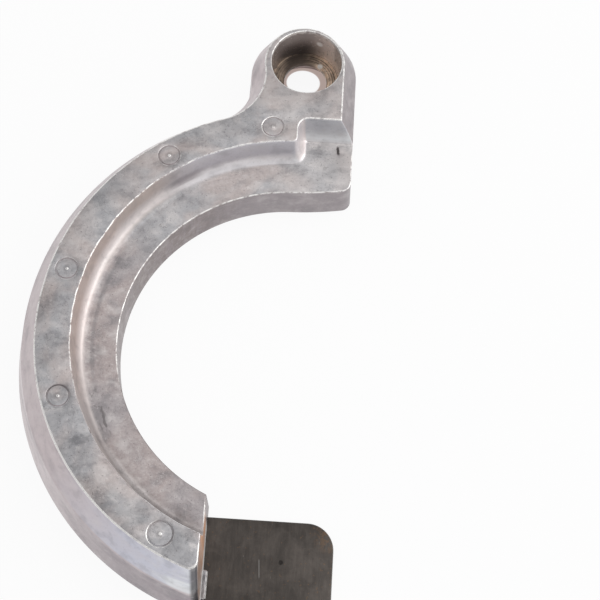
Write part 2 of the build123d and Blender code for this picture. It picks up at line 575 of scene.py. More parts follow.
@dataclass(frozen=True)
class CastZinc:
    """As-cast zinc, dull and mottled, with painted light: paler walls, edge highlights, shade and
    reflections.
    """

    cool: Colour = (0.40, 0.395, 0.405)
    warm: Colour = (0.455, 0.40, 0.385)
    dark: Colour = (0.148, 0.147, 0.155)
    pale: Colour = (0.66, 0.625, 0.61)
    band: Colour = (0.31, 0.255, 0.25)
    # Walls: painted paler than the tops, standing in for how they are lit
    wall: Colour = (0.575, 0.50, 0.51)
    wall_pale: Colour = (0.74, 0.66, 0.67)
    # Darker streaks on the walls, also mixed into the painted shade low on the south wall
    wall_dark: Colour = (0.355, 0.308, 0.328)
    # Painted shade low on the south wall and in a dark streak on the step's north
    wall_shade: Colour = (0.285, 0.243, 0.266)
    # Painted shade on faces that look along +X
    wall_end_shade: Colour = (0.27, 0.238, 0.248)
    # Painted shade on the inner wall, darkest away from the ear
    inner_shade_left: Colour = (0.205, 0.163, 0.16)
    inner_shade_right: Colour = (0.315, 0.28, 0.29)
    # The step's wall and foot: painted highlight bands, painted shade at the foot, a tan reflection above
    riser: Colour = (0.77, 0.685, 0.655)
    riser_highlight: Colour = (0.87, 0.80, 0.775)
    riser_foot_shade: Colour = (0.50, 0.44, 0.42)
    riser_dim: Colour = (0.37, 0.33, 0.315)
    riser_tan_reflection: Colour = (0.56, 0.465, 0.42)
    riser_plain: Colour = (0.66, 0.60, 0.58)
    riser_cool: Colour = (0.75, 0.735, 0.785)
    riser_light: Colour = (0.93, 0.90, 0.91)
    # The notch's walls: painted shade darker at the top, and a painted highlight on its side wall
    notch_end: Colour = (0.71, 0.715, 0.75)
    notch_low: Colour = (0.84, 0.845, 0.855)
    notch_side: Colour = (0.95, 0.87, 0.85)
    # Dark creases and pits of the cast skin, and painted shade in grooves and along the step's foot
    dirt_and_shade: Colour = (0.11, 0.10, 0.10)
    # Painted brown shade along the step's foot towards the tab; also in the breaks of the edges' highlight
    brown: Colour = (0.20, 0.15, 0.13)
    # Painted shade at the tab's outer corner
    corner: Colour = (0.10, 0.095, 0.10)
    # Painted reflection on the south bevel
    sheen: Colour = (0.63, 0.64, 0.73)
    glare: Colour = (0.92, 0.97, 1.0)
    # Counterbore: painted light and shade, paler towards +X and by the mouth, dark low on the north
    bore_dark: Colour = (0.215, 0.182, 0.17)
    bore_black: Colour = (0.03, 0.023, 0.02)
    bore_pale: Colour = (0.95, 0.81, 0.73)
    # The tab's end face: a painted warm reflection of the lug, in rust colours
    tab_pale: Colour = (0.72, 0.655, 0.62)
    tab_reflection_brown: Colour = (0.34, 0.225, 0.17)
    rust: Colour = (0.92, 0.50, 0.30)
    # Painted highlight on edges, along the tab's foot, and for flecks and glints
    edge: Colour = (0.95, 0.93, 0.90)
    metallic: float = 0.65
    roughness: float = 0.36
    relief: float = 0.06
    bolt_y: float = BOLT_Y
    bore_glint: Place = (3.0, 77.9, 14.0)
    pit: Pair = SLOT_PIT
    # Dark patches: stains, and painted shade along the step's foot and by the notch
    dark_stains_and_shade: tuple[Stain, ...] = (
        Stain(-43.4, -27.8, 4.0, 0.75),
        Stain(-37.4, -40.6, 4.4, 1.0),
        Stain(-40.9, -36.4, 3.2, 0.8),
        Stain(-55.4, 1.9, 3.8, 0.4),
        Stain(-50.1, -5.9, 4.5, 0.35),
        Stain(-40.6, -19.5, 2.8, 0.7),
        Stain(-38.9, -24.2, 2.2, 0.7),
        Stain(-42.7, -4.3, 2.4, 0.8),
        Stain(-21.0, -40.4, 2.6, 0.95),
        Stain(-18.4, -46.4, 2.4, 0.85),
        Stain(3.8, 49.9, 2.4, 0.9),
        Stain(-33.2, -26.5, 4.0, 0.35),
    )
    # Pale patches: stains, and painted highlights on the mouth's rim and by the notch
    pale_stains_and_highlights: tuple[Stain, ...] = (
        Stain(8.0, 53.0, 2.6, 0.55),
        Stain(-20.5, 50.4, 6.0, 0.25),
        Stain(-3.0, 59.0, 6.0, 0.45),
        Stain(6.0, 46.0, 6.0, 0.4),
        Stain(-30.0, 33.0, 5.0, 0.3),
        Stain(-34.6, -37.9, 2.8, 0.5),
        Stain(-38.0, -34.6, 3.2, 0.7),
        Stain(-31.0, -42.7, 3.0, 0.5),
        Stain(-25.2, -46.2, 1.5, 0.6),
        Stain(-17.3, -48.8, 1.3, 0.8),
        Stain(-6.2, 76.4, 2.2, 0.9),
        Stain(6.2, 76.2, 1.8, 0.7),
        Stain(11.6, 48.0, 3.4, 0.6),
        Stain(11.0, 43.6, 3.4, 0.6),
    )

    @staticmethod
    def patches(g: Graph, place: Feed, stains: Sequence[Stain]) -> Operand:
        """Strength of the strongest patch at each place.

        Args:
            g: Graph to add to.
            place: Flat place, in millimetres.
            stains: The patches.

        Returns:
            The strength, 0 to 1.
        """
        strongest: Operand = 0.0
        for stain in stains:
            strongest = g.math("MAXIMUM", stain.over(g, place), strongest)
        return strongest

    def top(self, s: Skin) -> bpy.types.NodeSocket:
        """Colour of the faces that look up, before their mottling, with painted light by the tab and the
        notch.

        Args:
            s: Values over the surface.

        Returns:
            The colour.
        """
        g = s.g
        colour = g.mix(s.tone.ramp(0.38, 0.62), self.cool, self.warm)
        colour = g.mix(s.radius.ramp(48.4, 47.2) * s.turn.ramp(0.75, 0.35) * 0.5, colour, self.band)
        # Painted light: the step's foot by the tab is painted paler against its shade, the band by the
        # notch brighter
        foot = s.by_tab * (0.3 + 0.4 * s.turn.ramp(-1.0, -0.85))
        notch = s.x.ramp(1.0, 3.5) * s.y.ramp(49.2, 51.8) * s.z.ramp(12.0, 11.2)
        return g.mix(s.turn.ramp(1.35, 1.55) * 0.2 + foot + notch * 0.7, colour, self.pale)

    def walls(self, s: Skin) -> bpy.types.NodeSocket:
        """Colour of the outer and inner walls, painted paler than the tops, with painted shade and
        reflection.

        Args:
            s: Values over the surface.

        Returns:
            The colour.
        """
        g = s.g
        low = s.z.ramp(10.9, 10.5)
        south = s.turn.ramp(-0.5, -1.1) * s.outside
        colour = g.mix(s.swept.ramp(0.4, 0.7) * 0.45, self.wall, self.wall_dark)
        faded = low * s.turn.ramp(-0.75, -0.35) * s.swept.ramp(0.7, 0.3)
        colour = g.mix(faded * 0.6, colour, self.wall_pale)
        # Painted shade on faces that look along +X
        colour = g.mix(s.aside.ramp(0.5, 0.9) * 0.85, colour, self.wall_end_shade)
        # Painted shade on the inner wall
        inner = g.mix(s.turn.ramp(0.8, 1.4), self.inner_shade_left, self.inner_shade_right)
        inner = g.mix(s.drawn.ramp(0.4, 0.7) * 0.4, inner, self.wall_dark)
        colour = g.mix(s.radius.ramp(43.2, 42.4), colour, inner)
        # Painted reflection on the south bevel, brightest towards the tab
        glare = s.turn.ramp(-1.07, -1.23) * s.swept.ramp(0.62, 0.4)
        sheen = g.mix(glare, self.sheen, self.glare)
        colour = g.mix(south * s.z.ramp(10.8, 11.6) * (0.4 + s.swept * 0.8), colour, sheen)
        # Painted shade low on the south wall
        shade = g.mix(s.swept.ramp(0.35, 0.65), self.wall_dark, self.wall_shade)
        colour = g.mix(south * low * 0.9, colour, shade)
        # Painted shade at the tab's outer corner
        corner = s.aside.within(-0.1, 0.35, 0.8, 0.97) * s.at_tab * s.outside
        return g.mix(corner * 0.9, colour, self.corner)

    def riser_wall(self, s: Skin, colour: Feed) -> bpy.types.NodeSocket:
        """Adds the step's wall and the foot that it sweeps into, coloured as painted highlights and shade.

        Args:
            s: Values over the surface.
            colour: Colour of the other walls.

        Returns:
            The colour.
        """
        g = s.g
        clear = g.math("MAXIMUM", s.aside.ramp(0.7, 0.4), s.x.ramp(3.0, 2.5))
        notch = s.x.ramp(-2.8, -2.2) * s.y.ramp(55.8, 55.2) * clear
        step = g.math("MAXIMUM", s.radius.ramp(50.2, 49.4), notch) * s.z.ramp(10.82, 10.95)
        lit = s.turn.ramp(-0.5, -0.05)
        # Painted highlight along the wall over painted shade at its foot; painted tan reflection higher up
        west = g.mix(s.z.ramp(11.0, 11.5), self.riser_foot_shade, self.riser)
        west = g.mix(s.z.ramp(12.2, 14.6) * 0.85, west, self.riser_tan_reflection)
        north = g.mix(s.z.ramp(10.95, 11.9), self.riser_dim, self.riser_highlight)
        north = g.mix(s.z.ramp(12.9, 15.8) * 0.88, north, self.riser_tan_reflection)
        # Painted paler near the top of the wall by the tab, against its shade
        plain = g.mix(s.turn.ramp(-0.85, -1.0) * s.z.ramp(15.0, 17.0), self.riser_plain, self.riser_light)
        foot = g.mix(lit, plain, g.mix(s.turn.ramp(0.05, 0.45), west, north))
        cool = g.mix(s.z.ramp(12.2, 14.2), self.riser_light, self.riser_cool)
        # The notch's end wall is painted darker towards its top; its side wall carries a painted highlight
        end = g.mix(s.z.ramp(11.5, 15.5), self.notch_low, self.notch_end)
        end = g.mix(s.z.ramp(11.7, 10.95) * 0.35, end, self.riser_plain)
        side = s.aside.ramp(0.3, 0.6) * s.x.ramp(3.0, 2.5) * s.y.ramp(44.0, 45.0)
        end = g.mix(side, end, self.notch_side)
        foot = g.mix(s.turn.ramp(0.75, 1.1), foot, g.mix(s.turn.ramp(1.5, 1.6), cool, end))
        # A painted dark streak of shade on the step's north
        streak = s.turn.within(0.84, 0.95, 1.0, 1.12) * s.z.within(11.7, 12.3, 13.2, 15.2)
        return g.mix(step, colour, g.mix(streak * 0.6, foot, self.wall_shade))

    def tab_end(self, s: Skin) -> tuple[Value, bpy.types.NodeSocket]:
        """The tab's end face: a painted warm reflection in rust colours, and a painted highlight along its
        foot.

        Args:
            s: Values over the surface.

        Returns:
            Where the face is, and its colour.
        """
        g = s.g
        here = s.aside.ramp(0.85, 0.97) * s.at_tab
        patchy = s.blotch.ramp(0.3, 0.58) * 0.35 + s.drawn.ramp(0.3, 0.6) * 0.3 + 0.35
        # Painted reflection of the lug in rust colours, and a painted highlight along the foot
        rusty = g.mix(s.y.ramp(-54.0, -44.0), self.tab_reflection_brown, self.rust)
        colour = g.mix(patchy * s.z.ramp(18.0, 16.0), self.tab_pale, rusty)
        return here, g.mix(s.z.ramp(5.8, 3.8), colour, self.edge)

    def clouded(self, s: Skin, base: Feed) -> bpy.types.NodeSocket:
        """Adds the dark and pale blotches and stains of the cast skin, with painted shade and painted
        highlights among them.

        Args:
            s: Values over the surface.
            base: Plain colour.

        Returns:
            The colour.
        """
        g = s.g
        warped = g.vector(s.x + (s.blotch - 0.5) * 6.0, s.y + (s.flow - 0.5) * 6.0, 0.0)
        stain_and_shade = self.patches(g, warped, self.dark_stains_and_shade) * s.level
        lit = self.patches(g, warped, self.pale_stains_and_highlights) * s.level
        cast = 0.5 + s.level * 0.5
        darker = (
            s.smear.ramp(0.48, 0.72) * 0.42 * cast + stain_and_shade * 0.5,
            s.blotch.ramp(0.52, 0.74) * 0.28 * cast,
            s.fine.ramp(0.54, 0.74) * 0.32 * cast,
        )
        paler = (
            s.smear.ramp(0.5, 0.28) * 0.4 * cast + lit * 0.6,
            s.blotch.ramp(0.48, 0.28) * 0.3 * cast,
            s.fine.ramp(0.44, 0.26) * 0.4 * cast + s.flow.ramp(0.55, 0.8) * 0.2,
        )
        for share in darker:
            base = g.mix(share, base, self.dark)
        for share in paler:
            base = g.mix(share, base, self.pale)
        return base

    def creased(self, s: Skin, base: Feed) -> bpy.types.NodeSocket:
        """Adds the veins, creases and pits of the cast skin.

        Args:
            s: Values over the surface.
            base: Colour so far.

        Returns:
            The colour.
        """
        g = s.g
        folds = g.noise(g.vector(s.x + s.blotch * 5.0, s.y + s.flow * 5.0, s.z), 0.55, 3.0, 0.6, 1.5)
        vein = abs(folds - 0.5).ramp(0.022, 0.0) * s.tone.ramp(0.42, 0.6) * s.level
        base = g.mix(vein * 0.45, base, self.pale)
        crease = abs(folds - 0.56).ramp(0.016, 0.0) * s.tone.ramp(0.58, 0.42) * s.level
        base = g.mix(crease * 0.6, base, self.dirt_and_shade)
        pits = g.noise(s.where, 2.3, 1.0, 0.5).ramp(0.68, 0.74) * s.level
        return g.mix(pits * 0.5, base, self.dirt_and_shade)

    def shaded_foot_and_pit(self, s: Skin, base: Feed) -> bpy.types.NodeSocket:
        """Adds painted shade and dark smears along the step's foot, painted brown shade by the tab and the
        dark slot.

        Args:
            s: Values over the surface.
            base: Colour so far.

        Returns:
            The colour.
        """
        g = s.g
        # Painted shade along the step's foot
        at_foot = s.radius.within(43.4, 44.1, 44.4, 44.9) * s.turn.within(-0.45, -0.1, 0.35, 0.6)
        base = g.mix(at_foot * s.level * 0.35, base, self.dark)
        foot_smears = g.noise(g.vector(s.radius * 1.2, s.turn * 16.0, 0.0), 0.8, 3.0, 0.6).ramp(0.52, 0.62)
        foot_smears *= s.radius.within(43.4, 44.1, 45.3, 46.0) * s.turn.within(-0.64, -0.54, -0.33, -0.26)
        base = g.mix(foot_smears * s.level * 0.7, base, self.dirt_and_shade)
        # Painted brown shade along the foot towards the tab
        shadow = s.radius.within(43.0, 46.0, 48.0, 49.0) * s.turn.ramp(-0.35, -0.7) * s.z.ramp(11.6, 11.0)
        base = g.mix(shadow * (s.blotch * 0.55 - 0.05), base, self.brown)
        pit_x, pit_y = self.pit
        along = s.y - pit_y
        aslant = s.x - pit_x + along * 0.12 + (s.fine - 0.5) * 0.8
        slot = (aslant * 3.6).hypot(along + (s.blotch - 0.5) * 1.5).ramp(1.7, 0.7)
        return g.mix(slot * s.z.within(10.0, 10.2, 11.0, 11.2) * 0.8, base, self.bore_black)

    def bored(self, s: Skin) -> tuple[Value, bpy.types.NodeSocket]:
        """The counterbore's wall, in painted light and shade, with painted highlight flecks and a glint.

        Args:
            s: Values over the surface.

        Returns:
            Where the wall is, and its colour.
        """
        g = s.g
        here = s.x.hypot(s.y - self.bolt_y).ramp(8.62, 8.46) * s.z.ramp(18.25, 17.9)
        # Painted light towards +X and by the mouth, painted shade low on the north, painted highlight
        # flecks
        colour = g.mix(s.x.ramp(-1.0, 7.0) * (0.6 + s.drawn * 0.9), self.bore_dark, self.bore_pale)
        colour = g.mix(s.x.ramp(-5.5, -8.2) * 0.12, colour, self.bore_pale)
        by_mouth = s.z.ramp(12.5, 16.5) * s.x.within(-7.8, -4.0, 3.0, 6.5)
        colour = g.mix(by_mouth * 0.3, colour, self.pale)
        colour = g.mix(s.x.ramp(6.2, 7.0) * s.z.ramp(11.0, 13.5) * 0.5, colour, self.bore_dark)
        shade = s.x.ramp(4.5, -1.0) * s.y.ramp(72.0, 76.5) * s.z.ramp(15.0, 10.0)
        colour = g.mix(shade * 0.55, colour, self.bore_black)
        flecks = g.noise(s.where, 1.2, 3.0, 0.7).ramp(0.56, 0.68) * s.x.ramp(1.5, 5.5)
        colour = g.mix(flecks * 0.5, colour, self.edge)
        stains = g.noise(s.where, 0.9, 3.0, 0.6, 0.8).ramp(0.55, 0.68) * s.x.ramp(0.0, 4.0)
        colour = g.mix(stains * 0.6, colour, self.bore_dark)
        return here, g.mix(g.distance(s.where, self.bore_glint).ramp(1.1, 0.5), colour, self.edge)

    def lit_edges_and_grooves(self, s: Skin, base: Feed, wear_light: Value) -> bpy.types.NodeSocket:
        """Adds broken painted highlights along the edges, painted shade in the marks' grooves and a dark
        lip top.

        Args:
            s: Values over the surface.
            base: Colour so far.
            wear_light: Scuffing and painted highlight of the surface; below zero, darker, as painted groove
                shade.

        Returns:
            The colour.
        """
        g = s.g
        # Painted highlight on the edges: stronger on the outer edge by the tab, fainter on the step's inner
        # edge
        outer = s.outside * s.turn.within(-1.0, -0.85, -0.45, -0.25)
        inner = s.radius.ramp(51.0, 49.6) * s.z.ramp(15.0, 16.0)
        hidden = inner * s.turn.ramp(-0.1, -0.45) + s.radius.ramp(41.0, 40.0) * s.turn.ramp(-0.15, -0.35)
        breaks = g.noise(s.where, 0.9, 4.0, 0.65)
        shine = 0.4 + 0.65 * breaks.ramp(0.36, 0.6) + outer * 0.5 - inner * 0.32
        bright = wear_light * shine * (1.0 - hidden * 0.75)
        darkness = (wear_light * -1.0).ramp(0.0, 1.0) * (0.4 + 0.5 * s.blotch.ramp(0.4, 0.65))
        base = g.mix(darkness, base, self.dirt_and_shade)
        base = g.mix(wear_light.ramp(0.1, 0.6) * breaks.ramp(0.46, 0.34) * 0.5, base, self.brown)
        return g.mix(bright.ramp(0.0, 1.0), base, self.edge)

    def material(self) -> bpy.types.Material:
        """Builds the finish.

        Returns:
            The material.
        """
        material, g = new_material(Slot.ZINC.value)
        s = Skin.of(g)
        tab, end = self.tab_end(s)
        side = g.mix(tab, self.riser_wall(s, self.walls(s)), end)
        # Tops and walls take different colours: the walls are painted paler, as lit
        base = self.clouded(s, g.mix(s.level, side, self.top(s)))
        base = self.shaded_foot_and_pit(s, self.creased(s, base))
        bore, inside = self.bored(s)
        wear_light = g.wear_light()
        base = self.lit_edges_and_grooves(s, g.mix(bore, base, inside), wear_light)
        uneven = (s.blotch - 0.5) * 0.2 + (s.fine - 0.5) * 0.2
        shape = s.grain * 0.25 + s.fine * 0.5 + s.blotch * 0.9 + s.flow * 0.6
        g.metal(
            {"IOR": 1.5},
            {
                "Base Color": base,
                "Metallic": self.metallic - bore * 0.4 - tab * 0.5,
                "Roughness": self.roughness + uneven - bore * 0.12 - wear_light * 0.08,
                "Normal": g.bump(shape, self.relief),
            },
        )
        return material


@dataclass(frozen=True)
class TurnedSteel:
    """Turned steel gone brown, with fine rings around the bolt, painted paler towards +X, with painted
    glints.
    """

    dark: Colour = (0.10, 0.078, 0.065)
    warm: Colour = (1.0, 0.77, 0.58)
    bright: Colour = (0.95, 0.92, 0.88)
    glint: Place = (3.4, 74.6, 8.9)
    metallic: float = 0.6
    roughness: float = 0.3
    ring_depth: float = 0.02
    axis_y: float = BOLT_Y

    def material(self) -> bpy.types.Material:
        """Builds the finish.

        Returns:
            The material.
        """
        material, g = new_material(Slot.SEAT.value)
        where, x, y, z = g.places()
        radius = x.hypot(y - self.axis_y)
        rings = g.noise(g.vector(radius * 6.0, z * 2.0, 0.0), 1.0, 3.0, 0.7)
        clouds = g.noise(where, 0.5, 4.0, 0.6)
        shade = rings.ramp(0.38, 0.66) * 0.55 + clouds.ramp(0.4, 0.7) * 0.45
        # Painted light: paler towards +X and the west rim, with painted highlight flecks and a painted
        # glint
        sunny = 0.06 + x.ramp(-1.5, 4.5) * 1.3 + x.ramp(-4.0, -6.5) * 0.4
        base = g.mix(shade * sunny, self.dark, self.warm)
        rim = radius.ramp(7.75, 8.0) * x.ramp(-2.0, -4.5) * clouds.ramp(0.35, 0.55)
        base = g.mix(rim * 0.6, base, self.warm)
        flecks = g.noise(where, 1.4, 3.0, 0.7).ramp(0.56, 0.7) * x.ramp(1.0, 5.0)
        base = g.mix(flecks * 0.5, base, self.bright)
        base = g.mix(g.distance(where, self.glint).ramp(0.85, 0.45), base, self.bright)
        g.metal(
            {"Metallic": self.metallic},
            {
                "Base Color": base,
                "Roughness": self.roughness + clouds * 0.2,
                "Normal": g.bump(rings, self.ring_depth),
            },
        )
        return material


@dataclass(frozen=True)
class PlateSteel:
    """Rolled steel plate: dark, faintly streaked, a little rusty near its corner."""

    dark: Colour = (0.047, 0.0405, 0.036)
    pale: Colour = (0.1, 0.086, 0.076)
    rust: Colour = (0.14, 0.085, 0.05)
    scratch: Colour = (0.26, 0.25, 0.24)
    black: Colour = (0.012, 0.01, 0.009)
    metallic: float = 0.75
    roughness: float = 0.42
    streak_depth: float = 0.012
    rusty_corner: Place = (12.2, -40.0, 1.5)
    score: Pair = (-3.3, -48.9)
    score_slant: float = 0.068
    pit: Pair = (1.33, -47.17)

    def material(self) -> bpy.types.Material:
        """Builds the finish.

        Returns:
            The material.
        """
        material, g = new_material(Slot.PLATE.value)
        where, x, y, z = g.places()
        streaks = g.noise(g.vector(x * 1.6, y * 0.22, z), 1.0, 5.0, 0.7)
        clouds = g.noise(where, 0.16, 5.0, 0.65, 0.5)
        grain = g.noise(where, 3.0, 2.0, 0.6)
        rolled = streaks.ramp(0.35, 0.7) * 0.35 + clouds.ramp(0.35, 0.7) * 0.65
        base = g.mix(rolled, self.dark, self.pale)
        base = g.mix(grain.ramp(0.55, 0.8) * 0.3, base, self.pale)
        patchy = g.noise(where, 1.1, 4.0, 0.65).ramp(0.42, 0.6)
        rusty = g.distance(where, self.rusty_corner).ramp(5.5, 1.5) * patchy
        base = g.mix(rusty * 0.75, base, self.rust)
        scratches = g.noise(g.vector(x * 4.0, y * 0.5, z), 1.0, 2.0, 0.5).ramp(0.72, 0.8)
        base = g.mix(scratches * 0.3, base, self.scratch)
        score_x, score_y = self.score
        across = abs(x - score_x + (y - score_y) * self.score_slant)
        score = across.ramp(0.16, 0.04) * y.within(-51.2, -50.4, -47.2, -46.6)
        base = g.mix(score * 0.55, base, self.scratch)
        specks = g.noise(where, 1.7, 1.0, 0.5).ramp(0.69, 0.75)
        base = g.mix(specks * 0.5, base, self.rust)
        pit_x, pit_y = self.pit
        pit = (x - pit_x).hypot(y - pit_y).ramp(0.65, 0.25)
        base = g.mix(pit * 0.8, base, self.black)
        base = g.mix(g.wear_light() * 0.25, base, self.scratch)
        g.metal(
            {"Metallic": self.metallic},
            {
                "Base Color": base,
                "Roughness": self.roughness + (clouds - 0.5) * 0.2 + (grain - 0.5) * 0.1,
                "Normal": g.bump(streaks * 0.8 + grain * 0.3 - pit * 6.0, self.streak_depth),
            },
        )
        return material


@dataclass(frozen=True)
class Paper:
    """White paper under the object, shaded below the bolt hole but for one bright spot; millimetres."""

    colour: Colour = (0.86, 0.86, 0.86)
    white: Colour = (1.0, 1.0, 1.0)
    glow: float = 0.92
    shade: Colour = (0.44, 0.35, 0.32)
    spot: Pair = (-0.43, 74.9)
    spot_reach: Pair = (4.15, 3.5)
    bolt_y: float = BOLT_Y

    def material(self) -> bpy.types.Material:
        """Builds the finish: part plain paper, part even white where it is looked at.

        Returns:
            The material.
        """
        material, g = new_material("paper")
        _, x, y, z = g.places()
        path = g.node("ShaderNodeLightPath", {}, {})
        seen, glossy, through = (
            Value(g, path.outputs[ray]) for ray in ("Is Camera Ray", "Is Glossy Ray", "Is Transmission Ray")
        )
        shown = g.math("MINIMUM", seen + glossy + through, 1.0) * self.glow
        (spot_x, spot_y), (reach_x, reach_y) = self.spot, self.spot_reach
        beside = ((x - spot_x) / reach_x).hypot((y - spot_y) / reach_y).ramp(0.97, 1.06)
        under = x.hypot(y - self.bolt_y).ramp(12.0, 10.0) * z.ramp(-0.5, -0.2)
        light = g.mix(beside * under, self.white, self.shade)
        paper = g.node("ShaderNodeBsdfDiffuse", {}, {"Color": self.colour}).outputs[0]
        white = g.node("ShaderNodeEmission", {}, {"Color": light}).outputs[0]
        mixed = g.node("ShaderNodeMixShader", {}, {0: shown, 1: paper, 2: white})
        g.node("ShaderNodeOutputMaterial", {}, {"Surface": mixed.outputs[0]})
        return material


def fit(piece: bpy.types.Object, node: str, material: bpy.types.Material) -> None:
    """Dresses a piece and puts it in the place of its CAD node.

    Args:
        piece: The piece.
        node: CAD node that it stands for.
        material: Its finish.
    """
    piece.data.materials.append(material)
    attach(piece, "root")
    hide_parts(node)
    LOG.info("%s rides on root in the place of %s", piece.name, node)


@dataclass(frozen=True)
class Level:
    """Radii of the casting's outline at one height."""

    z: float
    ring: float
    ear: float
    blend: float


@dataclass(frozen=True)
class Mark:
    """One ejector mark; radius in millimetres.

    Attributes:
        angle: Place around the ring, in degrees.
        reach: Radius.
        bright: How bright its rim's painted highlight is.
        groove_shade: How dark its groove is painted, as shade.
        side: Where the groove's painted shade lies around it, in degrees.
    """

    angle: float
    reach: float
    bright: float
    groove_shade: float
    side: float


@dataclass(frozen=True)
class Counts:
    """How many points each run of the casting's outlines has."""

    ear: int = 72
    blend: int = 28
    ring: int = 150
    tab_corner: int = 9
    end_face: int = 8
    tab_face: int = 6
    riser: int = 140
    edge_corner: int = 5
    notch_outer: int = 9
    notch_side: int = 4
    notch_inner: int = 10
    notch_end: int = 8
    low_tab: int = 10
    inner_wall: int = 130
    flare: int = 26
    flare_corner: int = 11
    low_end: int = 14
    bore: int = 96
    mark: int = 40
    pit: int = 24
    lip_corner: int = 5


@dataclass
class Casting:
    """Zinc half ring with its bolt ear, step, notch and marks; sizes in millimetres, angles in degrees.

    Attributes:
        ear_shift: Middle of the ear's wall, from the bolt.
        blend_radii: Hollow blend between ear and ring, at the base, the shoulder and the top.
        tab_foot: Reach and rise of the step's foot by the tab; ring_foot and notch_foot are alike.
        tab_blend: Start and length, as shares of the step, of the change to the foot along the ring.
        notch_blend: Share of the step over which that foot changes to the notch's.
        rim_taper: Points over which the band's rounded edge fades in at its ends.
        rim_light: Painted highlight where the band's rounded edge starts, and over it; edge_light is alike
            for the rib.
        bore_rows: Share of the taper, and depth, of the rows down the counterbore.
        pocket_edge: How far the hollow's lower edge flares out, and how high.
        mark_groove: Inward reach, drop as a share of the depth, painted highlight and painted shade of each
            row.
        mark_disc: Share of the mark's radius, and drop, of the flat inside the groove.
        mark_nub: Radius, drop and painted highlight of each row.
        edge_waves: Size and turns of each wave along the step's edge.
        tongue: Lowest x and y of the tongue's place, then its highest; lip is alike.
        pit_size: Half width, half length and depth.
        pit_path: Share of the size, and of the depth, of each row.
        lip_heights: The lip's foot and its top.
        lip_corner: Corner at the lip's foot, and how fast it tightens.
        lip_path: Drop from the top, inset and painted edge highlight of each row; below zero it is darker.
    """

    counts: Counts = Counts()
    height: float = 18.35
    shoulder_height: float = 10.8
    inner_radius: float = 38.65
    band_width: float = 9.65
    rib_width: float = 7.85
    bevel_width: float = 3.85
    wall_lean: float = 2.0
    bolt_clearance: float = 8.0
    mouth_radius: float = 8.4
    mouth_taper: float = 0.3
    seat_bedding: float = 2.2
    seat_thickness: float = 1.5
    seat_top: float = 8.9
    seat_ledge: float = 1.3
    ear_rim: float = 1.1
    ear_bevel: float = 3.25
    ear_lean: float = 0.5
    ear_shift: Pair = (-0.45, -0.25)
    blend_radii: Triple = (9.0, 10.0, 13.4)
    tab_offset: float = 15.4
    tab_draft: float = 2.0
    tab_corner: float = 1.8
    flare_start: float = 2.0
    flare_radius: float = 83.0
    flare_corner: float = 2.4
    riser_draft: float = 8.0
    tab_foot: Pair = (1.22, 1.4)
    ring_foot: Pair = (2.3, 2.9)
    notch_foot: Pair = (1.5, 4.0)
    notch_depth: float = 6.4
    notch_x: float = -1.05
    notch_outer: float = 1.2
    notch_inner: float = 2.7
    least_corner: float = 0.2
    least_edge: float = 0.06
    least_notch: float = 0.3
    tab_blend: Pair = (0.12, 0.26)
    notch_blend: float = 0.12
    wall_rows: tuple[float, ...] = (2.5, 5.0, 7.5)
    under_shoulder: float = 0.8
    rim_taper: float = 6.0
    rim_light: Pair = (0.2, 0.8)
    riser_steps: tuple[float, ...] = (0.03, 0.1, 0.22, 0.4, 0.62, 0.9, 1.2, 1.6, 2.1, 2.6, 3.2, 4.0, 5.5)
    under_edge: float = 0.14
    edge_light: Pair = (0.45, 1.0)
    bore_rows: tuple[Pair, ...] = ((0.12, 1.4), (0.6, 5.0))
    pocket_edge: Pair = (0.3, 0.4)
    mark_depth: float = 0.2
    mark_groove: tuple[tuple[float, float, float, float], ...] = (
        (0.0, 0.0, 0.0, 0.0),
        (0.04, 0.05, 1.0, 0.0),
        (0.2, 0.4, 1.0, 0.0),
        (0.28, 1.3, 0.0, 1.0),
        (0.46, 1.3, 0.0, 1.0),
        (0.56, 0.4, 0.4, 0.0),
        (0.72, 0.3, 0.0, 0.0),
    )
    mark_disc: Pair = (0.4, 0.5)
    mark_nub: tuple[Triple, ...] = ((0.42, 0.5, 0.0), (0.3, 0.15, 1.0), (0.12, 0.0, 1.0))
    marks: tuple[Mark, ...] = (
        Mark(97.6, 2.8, 1.0, 0.12, 20.0),
        Mark(125.7, 2.8, 0.8, 0.35, 170.0),
        Mark(166.3, 2.8, 0.55, 0.12, 160.0),
        Mark(199.6, 2.8, 0.3, 0.85, 95.0),
        Mark(242.2, 3.05, 0.9, 0.75, 20.0),
    )
    edge_waves: tuple[Pair, ...] = ((0.05, 71.0), (0.035, 133.0), (0.03, 247.0))
    edge: float = 0.25
    base_edge: float = 0.12
    edge_steps: int = 5
    tongue: tuple[float, float, float, float] = (-24.4, -56.025, -15.6, -44.025)
    tongue_height: float = 1.5
    pit: Pair = SLOT_PIT
    pit_size: Triple = (0.2, 1.15, 0.3)
    pit_path: tuple[Pair, ...] = ((1.0, 0.0), (0.9, 0.12), (0.72, 0.8), (0.4, 1.0))
    lip: tuple[float, float, float, float] = (-19.2, -56.5, -14.45, -50.0)
    lip_heights: Pair = (1.5, 2.8)
    lip_corner: Pair = (0.4, 0.6)
    lip_path: tuple[Triple, ...] = (
        (0.6, 0.02, 0.3),
        (0.34, 0.08, 1.0),
        (0.14, 0.2, 0.7),
        (0.04, 0.34, -0.3),
        (0.0, 0.5, -1.0),
    )
    step_radius: float = field(init=False)
    bolt: Points = field(init=False)
    ear: Points = field(init=False)
    levels: tuple[Level, ...] = field(init=False)

